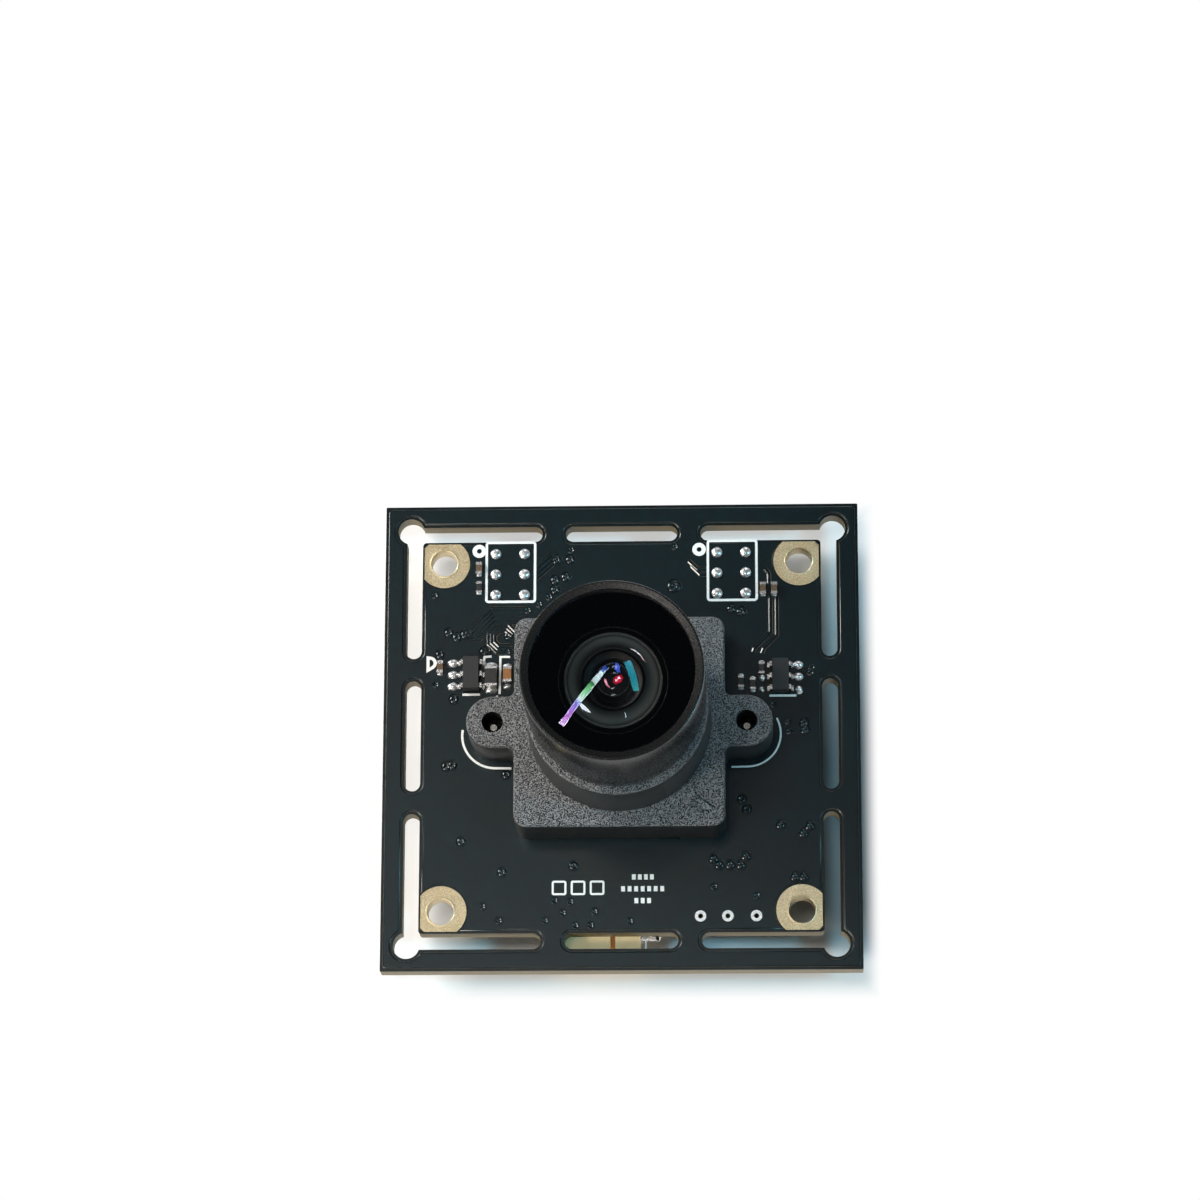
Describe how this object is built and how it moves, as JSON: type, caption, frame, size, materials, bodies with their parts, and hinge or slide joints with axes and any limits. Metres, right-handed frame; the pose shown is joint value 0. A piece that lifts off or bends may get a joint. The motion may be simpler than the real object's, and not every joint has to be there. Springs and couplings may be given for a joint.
{
  "type": "camera module",
  "caption": "Square circuit board with break-off slots, a wide-angle lens screwed into a moulded holder with screw ears, and a small plug socket on the rear.",
  "frame": {"origin": "middle of the mounting hole pattern on the board's rear face", "axes": "+Z out along the lens axis, +Y to the board's top edge, away from the plug socket"},
  "size_m": [0.038, 0.038, 0.0265],
  "materials": {
    "board": "satin black mask over tan laminate",
    "gold_plating": "pale gold plating, fine grain",
    "tin": "bright tin and solder",
    "holder_plastic": "sparked texture on top faces, smooth side walls",
    "screw_steel": "nickel",
    "package_resin": "matt moulding resin",
    "silicon": "polished die",
    "filter_glass": "coated",
    "optical_glass": "polished, coated",
    "black_metal": "satin black anodised",
    "capacitor_ceramic": "tan ceramic",
    "black_ceramic": "black coat",
    "socket_plastic": "natural cream nylon"
  },
  "bodies": {
    "board": {"circuit_board": "board", "front_mounting_pads": "gold_plating", "rear_mounting_pads": "gold_plating", "test_point_rings": "tin", "left_footprint_solder": "tin", "right_footprint_solder": "tin", "lens_holder": "holder_plastic", "holder_screws": "screw_steel", "image_sensor_package": "package_resin", "image_sensor_die": "silicon", "sensor_cover_glass": "filter_glass", "ir_cut_filter": "filter_glass", "left_regulator_body": "package_resin", "left_regulator_leads": "tin", "right_regulator_body": "package_resin", "right_regulator_leads": "tin", "power_capacitor_bodies": "capacitor_ceramic", "power_capacitor_end_caps": "tin", "power_inductor_bodies": "black_ceramic", "power_inductor_end_caps": "tin", "front_capacitor_bodies": "capacitor_ceramic", "front_capacitor_end_caps": "tin", "front_resistor_bodies": "black_ceramic", "front_resistor_end_caps": "tin", "rear_capacitor_bodies": "capacitor_ceramic", "rear_capacitor_end_caps": "tin", "rear_resistor_bodies": "black_ceramic", "rear_resistor_end_caps": "tin", "processor_body": "package_resin", "processor_leads": "tin", "flash_memory_body": "package_resin", "flash_memory_leads": "tin", "crystal_base": "capacitor_ceramic", "crystal_lid": "tin", "socket_housing": "socket_plastic", "socket_contacts": "gold_plating", "socket_fitting_tabs": "tin"},
    "lens_stack": {"front_element": "optical_glass", "second_element": "optical_glass", "third_element": "optical_glass", "fourth_element": "optical_glass", "fifth_element": "optical_glass", "sixth_element": "optical_glass", "front_spacer_ring": "black_metal", "aperture_stop": "black_metal", "rear_spacer_ring": "black_metal"},
    "barrel": {"lens_barrel": "black_metal", "rear_retaining_ring": "black_metal"}
  },
  "joints": [
    {"name": "lens_advance", "type": "slide", "parent": "board", "child": "lens_stack", "axis": [0, 0, 1], "range_m": [-0.0005, 0.001]},
    {"name": "lens_turn", "type": "hinge", "parent": "lens_stack", "child": "barrel", "pos_m": [0, 0, 0.01], "axis": [0, 0, 1], "range_deg": [-360, 720]}
  ],
  "couplings": [
    {"joint": "lens_turn", "follows": "lens_advance", "rad_per_m": 12566}
  ]
}
